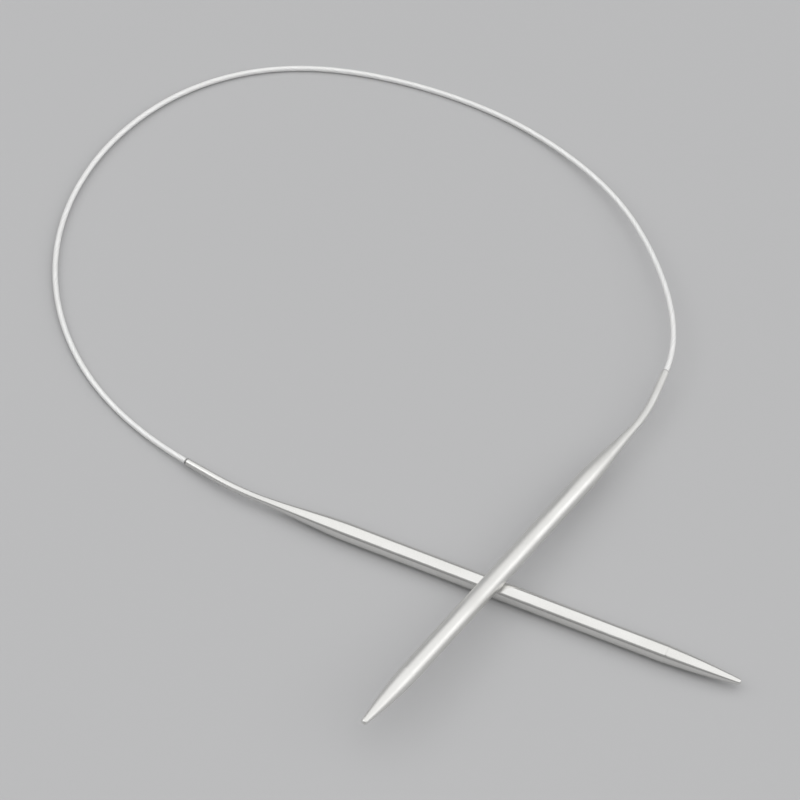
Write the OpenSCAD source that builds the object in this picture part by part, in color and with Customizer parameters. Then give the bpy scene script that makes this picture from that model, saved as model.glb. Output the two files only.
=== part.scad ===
// Circular knitting needle: two bent steel needles joined tip to tip by one flexible cable.
// Millimetres. It lies on a table at Z = 0, with the right needle resting across the left one.
// The origin is on the table under the middle of the two needles, with +Z up.

/* [Needles] */
// Diameter of each needle's shank
needle_d = 3.0; // [2.5:0.25:3.5]
// Length of the ground point, from its nose to the shank
point_len = 12; // [10:0.5:14]
// Radius of the rounded nose
nose_r = 0.5; // [0.4:0.05:0.6]
// How far the point bulges past a straight cone
crown = 0.15; // [0:0.01:0.2]
// Distance from the nose to the end of the full-size shank
shank_end = 64.5; // [60:0.5:68]
// Length over which the shank narrows to the neck
taper_len = 14; // [12:0.5:16]
// Wall of the steel tube that the needle is made from
tube_wall = 0.5; // [0.4:0.05:0.6]

/* [Necks] */
// Diameter of the slim bent neck
neck_d = 1.25; // [1.2:0.05:1.4]
// Diameter of the neck at its mouth, where the cable goes in
mouth_d = 1.15; // [1.1:0.05:1.2]
// Angle by which the neck is bent
bend_angle = 14; // [10:1:18]
// Radius of the bend, to the neck's centre line
bend_r = 34; // [28:1:40]
// Straight length of the neck between the bend and its mouth
neck_len = 5.2; // [5:0.2:7]

/* [Cable] */
// Diameter of the coated cable
cable_d = 0.9; // [0.8:0.05:0.9]
// Thickness of the clear coat over the steel strand
coat = 0.1; // [0.06:0.01:0.14]
// Length of the sleeve crimped on each bare end of the strand
sleeve_len = 4.5; // [3:0.5:4.5]

/* [How it lies] */
// Compass heading of the left needle, from its nose to its neck
left_heading = 166.2; // [164:0.1:168]
// Turn of the left needle about its own shank, which points its bent neck
left_roll = -166; // [-176:1:-160]
// Compass heading of the right needle, from its nose to its neck
right_heading = 64.7; // [63:0.1:66]
// Turn of the right needle about its own shank
right_roll = 22; // [10:1:30]
// How steeply the right needle rises towards its nose
right_rise = 2.6; // [2:0.1:3]

/* [Hidden] */
$fn = 64;

bore_d = cable_d;
strand_d = cable_d - 2 * coat;
strand_root = 0.4;
// A crimped part lies this much inside the one that holds it
crimp_gap = 0.005;
// The bore narrows by this much on the radius past the straight neck, which stops the sleeve there
bore_step = 0.03;
// What is straight runs this far into the bend, this much slimmer on the radius, so that they are one solid
root_len = 0.2;
neck_step = 0.01;
// Gap left between the crossed shanks
rest_gap = 0.15;
// Where the middle of each neck's mouth lies, seen from above
left_mouth_xy = [-44.1, 6.9];
right_mouth_xy = [26.9, 41.9];

// The cable's route from the left neck round to the right one
route = [
    [-54.5, 13, 0.5], [-63, 21.5, 0.55], [-69, 32.5, 0.65], [-72, 44.5, 0.75], [-72, 57, 0.75],
    [-69, 69.5, 0.75], [-63.5, 80.5, 0.65], [-56.5, 89, 0.55], [-47.5, 95.5, 0.45], [-37, 99, 0.45],
    [-25.5, 99.5, 0.45], [-14, 98, 0.45], [-3, 94.5, 0.55], [7.5, 88, 0.95], [16.5, 79, 1.8],
    [23, 67, 2.7], [27.5, 54, 3.1]
];
// Spacing of the route's points, which sets how straight the cable leaves a neck
route_step = 12;
rings_per_step = 4;
cable_sides = 8;
// The cable turns with a needle up to end_at route steps from its mouth, and flexes up to bend_at
end_at = 1.25;
bend_at = 3.75;

// ---- Needle geometry, in the needle's own frame: nose at the origin, shank along +X, neck bent to +Y ----

bend_start = shank_end + taper_len;
mouth_local = [
    bend_start + bend_r * sin(bend_angle) + neck_len * cos(bend_angle),
    bend_r * (1 - cos(bend_angle)) + neck_len * sin(bend_angle),
    0
];
mouth_heading_local = [cos(bend_angle), sin(bend_angle), 0];

point_steps = 8;
taper_steps = 12;

// A step from 0 to 1, half smooth and half straight, as the swaged taper has
function eased(t) = (1 - cos(180 * t)) / 4 + t / 2;

// Outline points, as [radius, distance from the nose]
nose_outline = [for (a = [0 : 15 : 75]) [nose_r * sin(a), nose_r * (1 - cos(a))]];
point_outline = [for (i = [0 : point_steps])
    let (t = i / point_steps)
    [nose_r + (needle_d / 2 - nose_r) * t + 4 * crown * t * (1 - t), nose_r + (point_len - nose_r) * t]];
function taper_outline(r_from, r_to) = [for (i = [0 : taper_steps])
    let (t = i / taper_steps)
    [r_from + (r_to - r_from) * eased(t), shank_end + taper_len * t]];

function root_outline(r) = [[r, bend_start], [r, bend_start + root_len], [0, bend_start + root_len]];

module lathe(outline) {
    rotate([0, 90, 0])
        rotate_extrude()
            polygon(outline);
}

module bent_rod(d) {
    translate([bend_start, bend_r, 0])
        rotate([0, 0, -90])
            rotate_extrude(angle = bend_angle, $fn = 256)
                translate([bend_r, 0])
                    circle(d = d, $fn = 64);
}

// Turns what stands on the origin along +Z so that it runs into the mouth from outside
module at_mouth() {
    translate(mouth_local)
        rotate([0, 0, bend_angle + 180])
            rotate([0, 90, 0])
                children();
}

module needle() {
    difference() {
        union() {
            lathe(concat(nose_outline, point_outline, taper_outline(needle_d / 2, neck_d / 2),
                         root_outline(neck_d / 2 - neck_step)));
            bent_rod(neck_d);
            at_mouth()
                cylinder(d1 = mouth_d, d2 = neck_d - 2 * neck_step, h = neck_len + root_len);
        }
        // The hollow of the tube, closed at the point and narrowed to the neck's bore
        lathe(concat([[0, point_len], [needle_d / 2 - tube_wall, point_len + 2]],
                     taper_outline(needle_d / 2 - tube_wall, bore_d / 2 - bore_step),
                     root_outline(bore_d / 2 - bore_step - neck_step)));
        bent_rod(bore_d - 2 * bore_step);
        at_mouth()
            translate([0, 0, -1])
                cylinder(d = bore_d, h = neck_len + 1 + root_len);
    }
}

module crimp_sleeve() {
    at_mouth()
        difference() {
            cylinder(d = bore_d - 2 * crimp_gap, h = sleeve_len);
            translate([0, 0, -1])
                cylinder(d = strand_d + 2 * crimp_gap, h = sleeve_len + 2);
        }
}

// The strand runs on inside the coated cable a little way, so that the two are one solid
module bare_strand() {
    at_mouth()
        translate([0, 0, -strand_root])
            cylinder(d = strand_d, h = neck_len + strand_root);
}

// ---- Placing the needles ----

function about_x(v, a) = [v.x, v.y * cos(a) - v.z * sin(a), v.y * sin(a) + v.z * cos(a)];
function about_y(v, a) = [v.x * cos(a) + v.z * sin(a), v.y, -v.x * sin(a) + v.z * cos(a)];
function about_z(v, a) = [v.x * cos(a) - v.y * sin(a), v.x * sin(a) + v.y * cos(a), v.z];
function turned(v, t) = about_z(about_y(about_x(v, t[0]), t[1]), t[2]);
function flat(v) = [v.x, v.y];
function cross_2d(a, b) = a.x * b.y - a.y * b.x;
function unit(v) = v / norm(v);

left_turn = [left_roll, 0, left_heading];
right_turn = [right_roll, right_rise, right_heading];
left_axis = turned([1, 0, 0], left_turn);
right_axis = turned([1, 0, 0], right_turn);
left_nose_xy = left_mouth_xy - flat(turned(mouth_local, left_turn));
right_nose_xy = right_mouth_xy - flat(turned(mouth_local, right_turn));

// The right shank clears the left one by rest_gap where they cross
crossing = cross_2d(left_nose_xy - right_nose_xy, flat(left_axis)) / cross_2d(flat(right_axis), flat(left_axis));
shank_gap = (needle_d + rest_gap) / abs(unit(cross(left_axis, right_axis)).z);
left_nose = [left_nose_xy.x, left_nose_xy.y, needle_d / 2];
right_nose = [right_nose_xy.x, right_nose_xy.y, needle_d / 2 + shank_gap - crossing * right_axis.z];

left_mouth = left_nose + turned(mouth_local, left_turn);
right_mouth = right_nose + turned(mouth_local, right_turn);
left_out = turned(mouth_heading_local, left_turn);
right_out = turned(mouth_heading_local, right_turn);

module place_left() {
    translate(left_nose)
        rotate(left_turn)
            children();
}

module place_right() {
    translate(right_nose)
        rotate(right_turn)
            children();
}

// ---- The cable: a cubic B-spline through both mouths, swept as an eight-sided tube ----

// Two points ahead of the first route point make the curve start at the mouth, in line with the neck
function lead_in(mouth, out, first) = [first - 2 * route_step * out, (3 * mouth - first + route_step * out) / 2];
left_lead = lead_in(left_mouth, left_out, route[0]);
right_lead = lead_in(right_mouth, right_out, route[len(route) - 1]);
control = concat(left_lead, route, [right_lead[1], right_lead[0]]);
steps = len(control) - 3;

function cable_point(u) =
    let (i = min(floor(u), steps - 1), f = u - i)
    (pow(1 - f, 3) * control[i] + (3 * pow(f, 3) - 6 * f * f + 4) * control[i + 1]
     + (-3 * pow(f, 3) + 3 * f * f + 3 * f + 1) * control[i + 2] + pow(f, 3) * control[i + 3]) / 6;
function cable_heading(u) =
    let (i = min(floor(u), steps - 1), f = u - i)
    unit(-pow(1 - f, 2) * control[i] + (3 * f * f - 4 * f) * control[i + 1]
         + (-3 * f * f + 2 * f + 1) * control[i + 2] + f * f * control[i + 3]);

function ring(u) =
    let (p = cable_point(u), h = cable_heading(u), side = unit(cross([0, 0, 1], h)), up = cross(h, side))
    [for (k = [0 : cable_sides - 1])
        let (a = 360 * k / cable_sides)
        p + cable_d / 2 * (cos(a) * side + sin(a) * up)];

module cable(from, to) {
    rings = round((to - from) * rings_per_step);
    n = cable_sides;
    points = [for (i = [0 : rings]) each ring(from + (to - from) * i / rings)];
    walls = [for (i = [0 : rings - 1], k = [0 : n - 1])
        let (a = i * n + k, b = i * n + (k + 1) % n)
        each [[a, a + n, b + n], [a, b + n, b]]];
    near_cap = [for (k = [0 : n - 1]) k];
    far_cap = [for (k = [n - 1 : -1 : 0]) rings * n + k];
    polyhedron(points, concat(walls, [near_cap, far_cap]), convexity = 4);
}

// ---- Sub-parts ----

module left_needle() {
    color("silver") place_left() needle();
}

module left_crimp_sleeve() {
    color("dimgray") place_left() crimp_sleeve();
}

module left_cable_end() {
    color("gainsboro") {
        cable(0, end_at);
        place_left() bare_strand();
    }
}

module left_cable_bend() {
    color("gainsboro") cable(end_at, bend_at);
}

module cable_loop() {
    color("gainsboro") cable(bend_at, steps - bend_at);
}

module right_cable_bend() {
    color("gainsboro") cable(steps - bend_at, steps - end_at);
}

module right_cable_end() {
    color("gainsboro") {
        cable(steps - end_at, steps);
        place_right() bare_strand();
    }
}

module right_crimp_sleeve() {
    color("dimgray") place_right() crimp_sleeve();
}

module right_needle() {
    color("silver") place_right() needle();
}

left_needle();
left_crimp_sleeve();
left_cable_end();
left_cable_bend();
cable_loop();
right_cable_bend();
right_cable_end();
right_crimp_sleeve();
right_needle();
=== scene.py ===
import math

import bpy
import numpy as np
from mathutils import Matrix, Vector


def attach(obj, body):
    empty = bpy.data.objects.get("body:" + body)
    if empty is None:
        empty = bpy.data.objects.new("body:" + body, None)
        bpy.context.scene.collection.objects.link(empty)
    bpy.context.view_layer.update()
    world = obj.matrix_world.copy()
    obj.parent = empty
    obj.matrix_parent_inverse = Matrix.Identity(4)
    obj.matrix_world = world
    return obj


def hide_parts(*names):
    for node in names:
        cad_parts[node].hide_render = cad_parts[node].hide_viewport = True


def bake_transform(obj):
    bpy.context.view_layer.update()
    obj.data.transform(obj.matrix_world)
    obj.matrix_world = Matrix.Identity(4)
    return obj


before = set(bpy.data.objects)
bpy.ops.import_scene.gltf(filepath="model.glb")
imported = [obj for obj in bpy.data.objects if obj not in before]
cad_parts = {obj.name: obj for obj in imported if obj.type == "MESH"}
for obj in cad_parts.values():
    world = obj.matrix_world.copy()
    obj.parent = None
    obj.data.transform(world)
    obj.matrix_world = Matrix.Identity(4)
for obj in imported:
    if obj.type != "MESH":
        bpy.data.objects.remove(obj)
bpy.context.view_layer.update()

MM = 0.001

# ---- The design, as in the CAD model, in metres ----

NEEDLE_R = 1.5 * MM
POINT_LEN = 12 * MM
NOSE_R = 0.5 * MM
CROWN = 0.15 * MM
SHANK_END = 64.5 * MM
TAPER_LEN = 14 * MM
NECK_R = 0.625 * MM
MOUTH_R = 0.575 * MM
BEND_ANGLE = math.radians(14)
BEND_R = 34 * MM
NECK_LEN = 5.2 * MM
CABLE_R = 0.45 * MM
REST_GAP = 0.15 * MM
BEND_START = SHANK_END + TAPER_LEN
MOUTH_AT = BEND_START + BEND_R * BEND_ANGLE + NECK_LEN

# Each needle's turn about X, Y and Z, and where the middle of its mouth lies seen from above
NEEDLES = {
    "left": {"turn": (-166, 0, 166.2), "mouth": (-44.1 * MM, 6.9 * MM)},
    "right": {"turn": (22, 2.6, 64.7), "mouth": (26.9 * MM, 41.9 * MM)},
}

# The cable's route from the left neck round to the right one
ROUTE = [
    (-0.0545, 0.0130, 0.00050), (-0.0630, 0.0215, 0.00055), (-0.0690, 0.0325, 0.00065), (-0.0720, 0.0445, 0.00075),
    (-0.0720, 0.0570, 0.00075), (-0.0690, 0.0695, 0.00075), (-0.0635, 0.0805, 0.00065), (-0.0565, 0.0890, 0.00055),
    (-0.0475, 0.0955, 0.00045), (-0.0370, 0.0990, 0.00045), (-0.0255, 0.0995, 0.00045), (-0.0140, 0.0980, 0.00045),
    (-0.0030, 0.0945, 0.00055), (0.0075, 0.0880, 0.00095), (0.0165, 0.0790, 0.00180), (0.0230, 0.0670, 0.00270),
    (0.0275, 0.0540, 0.00310),
]
ROUTE_STEP = 12 * MM
# Where the cable is divided, in route steps from each mouth
END_PIECE = 2.5
BEND_PIECE = 5.0


def turn_matrix(turn):
    x, y, z = (math.radians(a) for a in turn)
    return Matrix.Rotation(z, 3, "Z") @ Matrix.Rotation(y, 3, "Y") @ Matrix.Rotation(x, 3, "X")


def mouth_in_needle():
    """The mouth's middle and outward direction in the needle's own frame, nose at the origin and shank along +X."""
    out = Vector((math.cos(BEND_ANGLE), math.sin(BEND_ANGLE), 0))
    bend_end = Vector((BEND_START + BEND_R * math.sin(BEND_ANGLE), BEND_R * (1 - math.cos(BEND_ANGLE)), 0))
    return bend_end + NECK_LEN * out, out


def place_needles():
    """Works out each needle's nose: the left one lies on the floor, the right one rests across it."""
    mouth, out = mouth_in_needle()
    for n in NEEDLES.values():
        n["rot"] = turn_matrix(n["turn"])
        n["axis"] = n["rot"] @ Vector((1, 0, 0))
        n["nose"] = Vector((*n["mouth"], 0)) - n["rot"] @ mouth
        n["out"] = n["rot"] @ out
    left, right = NEEDLES["left"], NEEDLES["right"]
    left["nose"].z = NEEDLE_R
    between = (left["nose"] - right["nose"]).to_2d()
    crossing = between.cross(left["axis"].to_2d()) / right["axis"].to_2d().cross(left["axis"].to_2d())
    upright = abs(left["axis"].cross(right["axis"]).normalized().z)
    right["nose"].z = NEEDLE_R + (2 * NEEDLE_R + REST_GAP) / upright - crossing * right["axis"].z
    for n in NEEDLES.values():
        n["mouth"] = n["nose"] + n["rot"] @ mouth


place_needles()

# ---- Camera ----

VIEW_ELEVATION = math.radians(47.3)
VIEW_ROLL = math.radians(10.4)
VIEW_DISTANCE = 0.7683
VIEW_TARGET = Vector((-0.0136, 0.0285, 0))


def make_camera():
    data = bpy.data.cameras.new("camera")
    data.sensor_width = 36
    data.lens = 220.5
    data.clip_start = 0.01
    camera = bpy.data.objects.new("camera", data)
    bpy.context.scene.collection.objects.link(camera)
    back = Vector((0, -math.cos(VIEW_ELEVATION), math.sin(VIEW_ELEVATION)))
    tilt = Matrix.Rotation(math.pi / 2 - VIEW_ELEVATION, 4, "X")
    camera.matrix_world = (
        Matrix.Translation(VIEW_TARGET + VIEW_DISTANCE * back) @ tilt @ Matrix.Rotation(VIEW_ROLL, 4, "Z")
    )
    bpy.context.scene.camera = camera


make_camera()

# ---- Node helpers ----


def add(tree, kind, values=None, **settings):
    """A new shader node. values sets its inputs: a constant is stored, and a socket is linked."""
    node = tree.nodes.new("ShaderNode" + kind)
    for key, value in settings.items():
        setattr(node, key, value)
    for key, value in (values or {}).items():
        if isinstance(value, bpy.types.NodeSocket):
            tree.links.new(value, node.inputs[key])
        else:
            node.inputs[key].default_value = value
    return node


def maths(tree, operation, a, b=0.5, clamp=False):
    return add(tree, "Math", {0: a, 1: b}, operation=operation, use_clamp=clamp).outputs[0]


def remap(tree, value, low, high, to_low, to_high):
    node = add(tree, "MapRange", {0: value, 1: low, 2: high, 3: to_low, 4: to_high}, clamp=True)
    return node.outputs[0]


def noise(tree, vector, scale, detail=3.0, roughness=0.5, stretch=(1, 1, 1)):
    """Noise over a vector of metres. scale is features per metre before the stretch."""
    mapping = add(tree, "Mapping", {"Vector": vector, "Scale": stretch})
    values = {"Vector": mapping.outputs[0], "Scale": scale, "Detail": detail, "Roughness": roughness}
    return add(tree, "TexNoise", values).outputs["Fac"]


def mix_colour(tree, factor, a, b):
    node = add(tree, "Mix", data_type="RGBA")
    for socket, value in ((0, factor), (6, a), (7, b)):
        if isinstance(value, bpy.types.NodeSocket):
            tree.links.new(value, node.inputs[socket])
        else:
            node.inputs[socket].default_value = value
    return node.outputs[2]


def new_material(name):
    material = bpy.data.materials.new(name)
    material.use_nodes = True
    tree = material.node_tree
    return material, tree, tree.nodes["Principled BSDF"]


# ---- Materials ----


def needle_steel(name, polish, offset, shoulder_shade, mouth_shade):
    """Polished stainless steel. The attribute "grain" is the straightened needle's own position in metres:
    X along it from the nose, Y and Z across it. polish is the mean roughness of the shank. The fifth argument sets
    how dark the painted shade line is where the point meets the shank, standing in for the kink in its reflections,
    and the last how dark the painted shade is on the lip of the mouth, where the cable enters."""
    material, tree, shader = new_material(name)
    grain = add(tree, "Attribute", attribute_name="grain").outputs["Vector"]
    shifted = add(tree, "VectorMath", {0: grain, 1: (offset, offset, offset)}, operation="ADD").outputs[0]
    along = add(tree, "SeparateXYZ", {0: grain}).outputs[0]
    # 1 on the ground point and on the swaged neck, 0 on the polished shank
    point = remap(tree, along, POINT_LEN + 0.1 * MM, POINT_LEN - 0.1 * MM, 0, 1)
    neck = remap(tree, along, SHANK_END, BEND_START + 4 * MM, 0, 1)

    # Long drawing lines on the shank, rings from the grinding wheel on the point
    drawn = noise(tree, shifted, 9000, 4, 0.6, (0.02, 1, 1))
    ground = noise(tree, shifted, 9000, 3, 0.6, (1, 0.03, 0.03))
    lines = add(tree, "Mix", {0: point, 2: drawn, 3: ground}, data_type="FLOAT").outputs[0]
    smudge = noise(tree, shifted, 160, 5, 0.55, (0.5, 1, 1))
    cloud = noise(tree, shifted, 420, 3, 0.6, (0.35, 1, 1))
    scratch_field = noise(tree, shifted, 1500, 2, 0.4, (0.12, 1, 1))
    scratches = remap(tree, maths(tree, "ABSOLUTE", maths(tree, "SUBTRACT", scratch_field, 0.5)), 0, 0.006, 1, 0)

    fresh = mix_colour(tree, cloud, (0.74, 0.735, 0.715, 1), (0.83, 0.825, 0.805, 1))
    handled = mix_colour(tree, remap(tree, smudge, 0.45, 0.75, 0, 0.35), fresh, (0.66, 0.65, 0.62, 1))
    swaged = mix_colour(tree, maths(tree, "MULTIPLY", neck, 0.35), handled, (0.67, 0.67, 0.66, 1))
    scored = mix_colour(tree, maths(tree, "MULTIPLY", scratches, 0.25), swaged, (0.9, 0.9, 0.89, 1))
    # A painted shade line where the point meets the shank, standing in for the kink in the reflections at the
    # shoulder
    from_edge = maths(tree, "ABSOLUTE", maths(tree, "SUBTRACT", along, POINT_LEN))
    shoulder_shaded = mix_colour(tree, remap(tree, from_edge, 0.06 * MM, 0.22 * MM, shoulder_shade, 0), scored, (0.22, 0.217, 0.21, 1))
    # Painted shade darkens the lip of the mouth, where the cable enters the bore
    mouth_shade_factor = remap(tree, along, MOUTH_AT - 0.16 * MM, MOUTH_AT - 0.04 * MM, 0, mouth_shade)
    tree.links.new(mix_colour(tree, mouth_shade_factor, shoulder_shaded, (0.10, 0.098, 0.095, 1)), shader.inputs["Base Color"])

    rough = remap(tree, smudge, 0.3, 0.8, polish * 0.75, polish * 1.5)
    rough = maths(tree, "ADD", rough, maths(tree, "MULTIPLY", lines, 0.05))
    rough = maths(tree, "ADD", rough, maths(tree, "MULTIPLY", point, 0.04))
    rough = maths(tree, "ADD", rough, maths(tree, "MULTIPLY", neck, 0.16))
    rough = maths(tree, "ADD", rough, maths(tree, "MULTIPLY", scratches, 0.08), clamp=True)
    tree.links.new(rough, shader.inputs["Roughness"])

    bump = add(tree, "Bump", {"Strength": 0.12, "Distance": 0.004 * MM, "Height": lines})
    deeper = add(tree, "Bump", {"Strength": 0.25, "Distance": 0.01 * MM, "Height": scratches,
                                "Normal": bump.outputs[0]}, invert=True)
    tree.links.new(deeper.outputs[0], shader.inputs["Normal"])
    shader.inputs["Metallic"].default_value = 1.0
    return material


def coated_cable(name):
    """Steel strand seen through a thin clear nylon coat. The attribute "valley" is 1 in the grooves between wires,
    and "grain" is the straightened cable's own position in metres."""
    material, tree, shader = new_material(name)
    grain = add(tree, "Attribute", attribute_name="grain").outputs["Vector"]
    valley = add(tree, "Attribute", attribute_name="valley").outputs["Fac"]
    tint = add(tree, "Attribute", attribute_name="wire_tint").outputs["Fac"]
    mottle = noise(tree, grain, 900, 4, 0.6, (0.4, 1, 1))
    haze = noise(tree, grain, 120, 3, 0.5, (0.3, 1, 1))
    fine = noise(tree, grain, 7000, 3, 0.6, (0.3, 1, 1))

    wires = mix_colour(tree, tint, (0.84, 0.84, 0.83, 1), (0.95, 0.95, 0.94, 1))
    # Painted shade darkens the grooves between the wires
    groove_shaded = mix_colour(tree, maths(tree, "MULTIPLY", valley, 0.4), wires, (0.55, 0.55, 0.545, 1))
    milky = mix_colour(tree, remap(tree, mottle, 0.35, 0.75, 0.08, 0.34), groove_shaded, (0.90, 0.90, 0.885, 1))
    scuffed = mix_colour(tree, remap(tree, haze, 0.5, 0.8, 0, 0.25), milky, (0.80, 0.795, 0.77, 1))
    # Painted shade darkens the cable where it enters each neck
    along = add(tree, "SeparateXYZ", {0: grain}).outputs[0]
    from_mouth = maths(tree, "MINIMUM", along, maths(tree, "SUBTRACT", CABLE_LEN, along))
    # The painted shade is darker at the left mouth than at the right one
    mouth_shade_depth = remap(tree, along, 0, CABLE_LEN, 0.85, 0.4)
    cable_mouth_shade = maths(tree, "MULTIPLY", mouth_shade_depth, remap(tree, from_mouth, 0.14 * MM, 0.34 * MM, 1, 0))
    tree.links.new(mix_colour(tree, cable_mouth_shade, scuffed, (0.08, 0.078, 0.075, 1)), shader.inputs["Base Color"])

    rough = remap(tree, mottle, 0.3, 0.8, 0.38, 0.52)
    rough = maths(tree, "ADD", rough, maths(tree, "MULTIPLY", valley, 0.12), clamp=True)
    tree.links.new(rough, shader.inputs["Roughness"])
    bump = add(tree, "Bump", {"Strength": 0.15, "Distance": 0.004 * MM, "Height": fine})
    tree.links.new(bump.outputs[0], shader.inputs["Normal"])
    shader.inputs["Metallic"].default_value = 0.35
    shader.inputs["Coat Weight"].default_value = 0.7
    shader.inputs["Coat Roughness"].default_value = 0.18
    shader.inputs["Coat IOR"].default_value = 1.53
    return material


def sleeve_steel(name):
    """Plain drawn tube with a dull crimped surface."""
    material, tree, shader = new_material(name)
    place = add(tree, "TexCoord").outputs["Object"]
    mottle = noise(tree, place, 1500, 4, 0.6)
    fine = noise(tree, place, 9000, 3, 0.6)
    colour = mix_colour(tree, mottle, (0.48, 0.475, 0.46, 1), (0.62, 0.615, 0.60, 1))
    tree.links.new(colour, shader.inputs["Base Color"])
    tree.links.new(remap(tree, fine, 0.3, 0.7, 0.3, 0.5), shader.inputs["Roughness"])
    bump = add(tree, "Bump", {"Strength": 0.3, "Distance": 0.01 * MM, "Height": fine})
    tree.links.new(bump.outputs[0], shader.inputs["Normal"])
    shader.inputs["Metallic"].default_value = 1.0
    return material


# ---- Meshes ----

SHARP_ANGLE = math.radians(40)


def mesh_object(name, rings, closed_start, closed_end):
    """Joins rings of points, all of one size, into a closed skin. closed_start and closed_end are the cap points."""
    count, around = len(rings), len(rings[0])
    points = [tuple(p) for ring in rings for p in ring]
    faces = []
    for i in range(count - 1):
        for k in range(around):
            a, b = i * around + k, i * around + (k + 1) % around
            faces.append((a, b, b + around, a + around))
    for cap, base, flip in ((closed_start, 0, True), (closed_end, (count - 1) * around, False)):
        centre = len(points)
        points.append(tuple(cap))
        for k in range(around):
            a, b = base + k, base + (k + 1) % around
            faces.append((b, a, centre) if flip else (a, b, centre))
    mesh = bpy.data.meshes.new(name)
    mesh.from_pydata(points, [], faces)
    mesh.validate()
    mesh.shade_smooth()
    mesh.set_sharp_from_angle(angle=SHARP_ANGLE)
    piece = bpy.data.objects.new(name, mesh)
    bpy.context.scene.collection.objects.link(piece)
    return piece


def store(piece, name, values):
    """Keeps a number or a vector for each point of a piece's mesh."""
    vector = isinstance(values[0], (tuple, Vector))
    attribute = piece.data.attributes.new(name, "FLOAT_VECTOR" if vector else "FLOAT", "POINT")
    for item, value in zip(attribute.data, values):
        if vector:
            item.vector = value
        else:
            item.value = value


# ---- Cable ----

CABLE_AROUND = 72
WIRES = 12
LAY = 7 * MM
GROOVE = 0.018 * MM
CABLE_RING_STEP = 0.3 * MM
CABLE_ROOT = 1.2 * MM


def control_points():
    """The route, with two more points at each end so that the curve leaves each mouth in line with its neck."""
    route = [Vector(p) for p in ROUTE]
    ends = []
    for side, first in (("left", route[0]), ("right", route[-1])):
        mouth, out = NEEDLES[side]["mouth"], NEEDLES[side]["out"]
        ends.append((first - 2 * ROUTE_STEP * out, (3 * mouth - first + ROUTE_STEP * out) / 2))
    return [ends[0][0], ends[0][1], *route, ends[1][1], ends[1][0]]


CONTROL = control_points()
STEPS = len(CONTROL) - 3


def cable_point(u):
    i = min(int(u), STEPS - 1)
    f = u - i
    a, b, c, d = CONTROL[i:i + 4]
    from_b = 3 * f ** 3 - 6 * f * f + 4
    from_c = 3 * f + 3 * f * f - 3 * f ** 3 + 1
    return ((1 - f) ** 3 * a + from_b * b + from_c * c + f ** 3 * d) / 6


def cable_heading(u):
    i = min(int(u), STEPS - 1)
    f = u - i
    a, b, c, d = CONTROL[i:i + 4]
    return (-(1 - f) ** 2 * a + (3 * f * f - 4 * f) * b + (1 + 2 * f - 3 * f * f) * c + f * f * d).normalized()


def arc_table(samples=3600):
    """Distance along the cable from the left mouth, at equal steps of u."""
    us = np.linspace(0, STEPS, samples + 1)
    points = np.array([cable_point(u) for u in us])
    lengths = np.linalg.norm(np.diff(points, axis=0), axis=1)
    return us, np.concatenate([[0], np.cumsum(lengths)])


ARC_U, ARC_S = arc_table()
CABLE_LEN = float(ARC_S[-1])


def cable_frame(s):
    """Centre, side and up at distance s from the left mouth. The cable runs on straight inside the necks."""
    clamped = min(max(s, 0), CABLE_LEN)
    u = float(np.interp(clamped, ARC_S, ARC_U))
    heading = cable_heading(u)
    side = Vector((0, 0, 1)).cross(heading).normalized()
    return cable_point(u) + (s - clamped) * heading, side, heading.cross(side)


def wire_tint(index):
    """A fixed brightness for each of the outer wires, from 0 to 1."""
    return (math.sin(index * 12.9898) * 43758.5453) % 1


def make_cable_piece(name, start, end, material):
    """A stretch of coated strand from start to end, as distances from the left mouth. Its surface swells a little
    over each outer wire, and the grid of the mesh follows the lay of the wires."""
    count = max(2, round((end - start) / CABLE_RING_STEP))
    rings, grain, valley, tints, path = [], [], [], [], []
    for i in range(count + 1):
        s = start + (end - start) * i / count
        centre, side, up = cable_frame(s)
        path.append(tuple(centre))
        ring = []
        for k in range(CABLE_AROUND):
            phase = k * WIRES / CABLE_AROUND
            angle = 2 * math.pi * (k / CABLE_AROUND + s / LAY)
            groove = 1 - abs(math.sin(math.pi * phase)) ** 0.7
            r = CABLE_R - GROOVE * groove
            ring.append(centre + r * (math.cos(angle) * side + math.sin(angle) * up))
            grain.append(Vector((s, CABLE_R * math.cos(angle), CABLE_R * math.sin(angle))))
            valley.append(groove)
            tints.append(wire_tint(int(phase)))
        rings.append(ring)
    piece = mesh_object(name, rings, path[0], path[-1])
    for s in (start, end):
        grain.append(Vector((s, 0, 0)))
        valley.append(0.5)
        tints.append(0.5)
    store(piece, "grain", grain)
    store(piece, "valley", valley)
    store(piece, "wire_tint", tints)
    piece.data.materials.append(material)
    return piece, path


def at_step(u):
    return float(np.interp(u, ARC_U, ARC_S))


def make_cable():
    """The whole cable in five stretches."""
    material = coated_cable("coated_cable")
    left_end, left_bend = at_step(END_PIECE), at_step(BEND_PIECE)
    right_end, right_bend = at_step(STEPS - END_PIECE), at_step(STEPS - BEND_PIECE)
    stretches = (
        ("cable_left_end", -CABLE_ROOT, left_end, "left_cable_end", ("left_bend", "left_needle"), 0.0),
        ("cable_left_bend", left_end, left_bend, "left_cable_bend", ("cable", "left_bend"), left_end),
        ("cable_middle", left_bend, right_bend, "cable_loop", ("cable",), left_bend),
        ("cable_right_bend", right_bend, right_end, "right_cable_bend", ("cable", "right_bend"), right_end),
        ("cable_right_end", right_end, CABLE_LEN + CABLE_ROOT, "right_cable_end", ("right_bend", "right_needle"),
         CABLE_LEN),
    )
    for name, start, end, node, bodies, exit_at in stretches:
        piece, path = make_cable_piece(name, start, end, material)
        if len(bodies) == 1:
            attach(piece, bodies[0])
        else:
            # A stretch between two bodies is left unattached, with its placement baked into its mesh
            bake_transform(piece)
        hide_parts(node)


make_cable()

# ---- Needles ----

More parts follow.
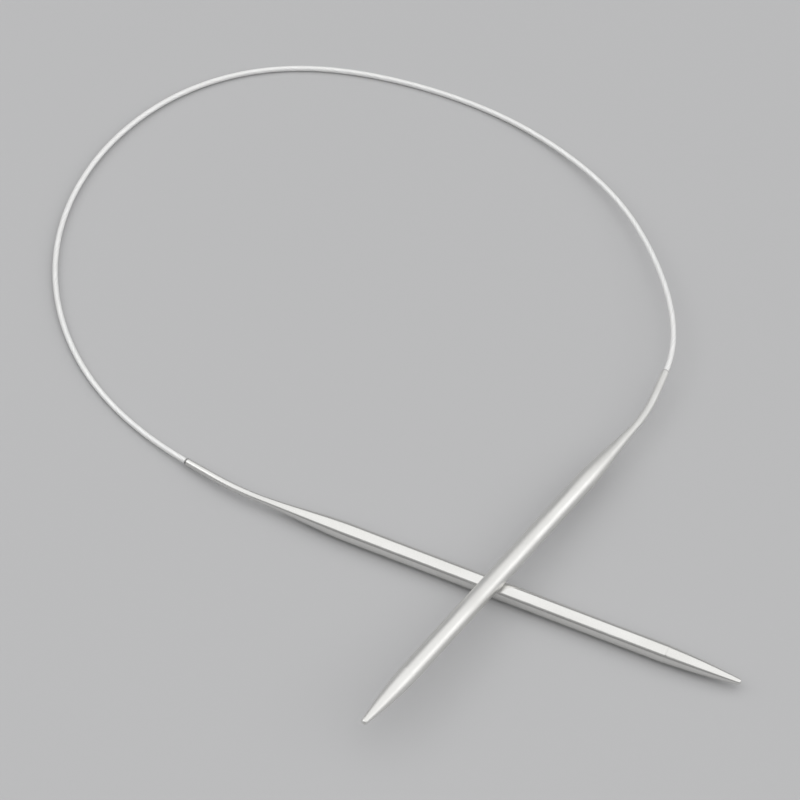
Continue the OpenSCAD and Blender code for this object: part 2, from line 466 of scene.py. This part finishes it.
NEEDLE_AROUND = 96
BORE_R = 0.475 * MM
BORE_DEPTH = 3 * MM
LIP_R = 0.045 * MM
LIP_CHAMFER = 0.02 * MM
# How much of a quarter circle the rounded nose covers
NOSE_SWEEP = 0.92
# Rings along each part of the outline
NOSE_RINGS, POINT_RINGS, SHANK_RINGS, TAPER_RINGS = 8, 32, 60, 40
BEND_RINGS, NECK_RINGS, LIP_RINGS, BORE_RINGS = 20, 12, 6, 4
# Height of the two wavers on a polished shank, and how far it all lies inside the CAD surface, in mm
SLOW_WAVER, QUICK_WAVER, WAVER_INSET = 0.0022, 0.0010, 0.0032


def eased(t):
    return (1 - math.cos(math.pi * t)) / 4 + t / 2


def needle_profile(shoulder):
    """Points of the outline, as (distance along the straightened needle, radius), from the nose to the bore's end."""
    outline = []
    for i in range(1, NOSE_RINGS + 1):
        a = math.pi / 2 * NOSE_SWEEP * i / NOSE_RINGS
        outline.append((NOSE_R * (1 - math.cos(a)), NOSE_R * math.sin(a)))
    cone_start, nose_edge = outline[-1]
    for i in range(1, POINT_RINGS + 1):
        t = i / POINT_RINGS
        r = nose_edge + (NEEDLE_R - shoulder - nose_edge) * t + 4 * CROWN * t * (1 - t)
        outline.append((cone_start + (POINT_LEN - cone_start) * t, r))
    # The shoulder climbs steeply and then rounds off into the shank
    shank_from = POINT_LEN + 0.2 * MM
    outline += [
        (POINT_LEN + 0.02 * MM, NEEDLE_R - 0.6 * shoulder),
        (POINT_LEN + 0.08 * MM, NEEDLE_R - 0.1 * shoulder),
        (shank_from, NEEDLE_R),
    ]
    shank_len = SHANK_END - shank_from
    outline += [(shank_from + shank_len * i / SHANK_RINGS, NEEDLE_R) for i in range(1, SHANK_RINGS + 1)]
    for i in range(1, TAPER_RINGS + 1):
        t = i / TAPER_RINGS
        outline.append((SHANK_END + TAPER_LEN * t, NEEDLE_R + (NECK_R - NEEDLE_R) * eased(t)))
    bend_len = BEND_R * BEND_ANGLE
    outline += [(BEND_START + bend_len * i / BEND_RINGS, NECK_R) for i in range(1, BEND_RINGS + 1)]
    neck_from = BEND_START + bend_len
    neck_to = neck_from + NECK_LEN - LIP_R
    for i in range(1, NECK_RINGS + 1):
        t = i / NECK_RINGS
        outline.append((neck_from + (neck_to - neck_from) * t, NECK_R + (MOUTH_R - NECK_R) * t))
    for i in range(1, LIP_RINGS + 1):
        a = math.pi / 2 * i / LIP_RINGS
        outline.append((neck_to + LIP_R * math.sin(a), MOUTH_R - LIP_R * (1 - math.cos(a))))
    mouth_at = neck_to + LIP_R
    outline += [(mouth_at, BORE_R + LIP_CHAMFER), (mouth_at - LIP_CHAMFER, BORE_R)]
    outline += [(mouth_at - BORE_DEPTH * i / BORE_RINGS, BORE_R) for i in range(1, BORE_RINGS + 1)]
    return outline


def along_needle(x):
    """Centre, side and up of the needle's centre line at distance x, in its own frame."""
    bend_len = BEND_R * BEND_ANGLE
    angle = min(max(x - BEND_START, 0) / BEND_R, BEND_ANGLE)
    heading = Vector((math.cos(angle), math.sin(angle), 0))
    centre = Vector((min(x, BEND_START) + BEND_R * math.sin(angle), BEND_R * (1 - math.cos(angle)), 0))
    centre += max(x - BEND_START - bend_len, 0) * heading
    return centre, Vector((-heading.y, heading.x, 0)), Vector((0, 0, 1))


def waver(x, angle, seed):
    """The tiny hollows and swells that hand polishing leaves on a shank, in metres of radius."""
    slow = math.sin(x / (9 * MM) + seed) * math.cos(angle + 0.7 * seed)
    quick = math.sin(x / (3.1 * MM) + 2 * angle + 1.9 * seed)
    return (SLOW_WAVER * slow + QUICK_WAVER * quick) * MM


def make_needle(side, polish, seed, shoulder, shoulder_shade, mouth_shade):
    """shoulder is the small step that grinding leaves where the point meets the shank. The last two set how dark
    the painted shade line at the shoulder and the painted shade on the lip of the mouth are."""
    n = NEEDLES[side]
    profile = needle_profile(shoulder)
    place = Matrix.Translation(n["nose"]) @ n["rot"].to_4x4()
    rings, grain = [], []
    for x, r in profile:
        centre, across, up = along_needle(x)
        ring = []
        for k in range(NEEDLE_AROUND):
            angle = 2 * math.pi * k / NEEDLE_AROUND
            # It wavers inwards only, and fades out towards the tip
            depth = (waver(x, angle, seed) - WAVER_INSET * MM) * min(r / NEEDLE_R, 1) if r > BORE_R else 0
            direction = math.cos(angle) * across + math.sin(angle) * up
            ring.append(place @ (centre + (r + depth) * direction))
            grain.append(Vector((x, r * math.cos(angle), r * math.sin(angle))))
        rings.append(ring)
    inner_end = profile[-1][0]
    piece = mesh_object(f"{side}_needle_steel", rings, place @ Vector((0, 0, 0)), place @ along_needle(inner_end)[0])
    grain += [Vector((0, 0, 0)), Vector((inner_end, 0, 0))]
    store(piece, "grain", grain)
    piece.data.materials.append(needle_steel(f"{side}_needle_steel", polish, seed, shoulder_shade, mouth_shade))
    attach(piece, f"{side}_needle")
    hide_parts(f"{side}_needle")


make_needle("left", 0.10, 1.3, 0.04 * MM, 0.05, 0.85)
make_needle("right", 0.33, 4.1, 0.004 * MM, 0.0, 0.4)

SLEEVE = sleeve_steel("sleeve_steel")
for side in ("left", "right"):
    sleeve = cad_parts[f"{side}_crimp_sleeve"]
    sleeve.data.materials.clear()
    sleeve.data.materials.append(SLEEVE)

# ---- Floor, light and backdrop ----

DOME_TILT = math.radians(22)
DOME_DIM = 0.28
DOME_BRIGHT = 0.42


def make_floor():
    bpy.ops.mesh.primitive_plane_add(size=6, location=(0, 0, 0))
    floor = bpy.context.object
    floor.name = "floor"
    material, tree, shader = new_material("floor")
    place = add(tree, "TexCoord").outputs["Object"]
    cloud = noise(tree, place, 3, 3)
    colour = mix_colour(tree, cloud, (0.47, 0.47, 0.474, 1), (0.495, 0.495, 0.5, 1))
    tree.links.new(colour, shader.inputs["Base Color"])
    shader.inputs["Roughness"].default_value = 0.55
    shader.inputs["Specular IOR Level"].default_value = 0.3
    floor.data.materials.append(material)


def make_light(name, location, target, width, height, power):
    data = bpy.data.lights.new(name, "AREA")
    data.shape = "RECTANGLE"
    data.size = width
    data.size_y = height
    data.energy = power
    lamp = bpy.data.objects.new(name, data)
    bpy.context.scene.collection.objects.link(lamp)
    lamp.location = location
    lamp.rotation_euler = (Vector(target) - Vector(location)).to_track_quat("-Z", "Y").to_euler()


def make_world():
    """A soft dome, bright but for a dim patch low on the -Y side."""
    world = bpy.data.worlds.new("studio")
    world.use_nodes = True
    bpy.context.scene.world = world
    tree = world.node_tree
    direction = add(tree, "TexCoord").outputs["Generated"]
    tilt = Vector((0, math.sin(DOME_TILT), math.cos(DOME_TILT)))
    height = add(tree, "VectorMath", {0: direction, 1: tilt}, operation="DOT_PRODUCT").outputs["Value"]
    glow = remap(tree, height, -0.18, 0.08, DOME_DIM, DOME_BRIGHT)
    tree.links.new(glow, tree.nodes["Background"].inputs["Strength"])
    tree.nodes["Background"].inputs["Color"].default_value = (0.99, 0.995, 1, 1)


make_floor()
make_world()
# One wide softbox overhead, and two panels that carry the light round the sides of the needles
make_light("softbox_top", (0.5, -0.1, 1.0), (0.5, -0.1, 0), 4.4, 2.9, 27)
make_light("softbox_right", (1.24, 0.38, 0.4), (0, 0.03, 0), 1.3, 0.8, 2.0)
make_light("softbox_left", (-0.9, -0.05, 0.6), (0, 0.03, 0), 0.6, 0.8, 1.2)
# Keeps the highlights of polished steel near white
bpy.context.scene.view_settings.view_transform = "Standard"
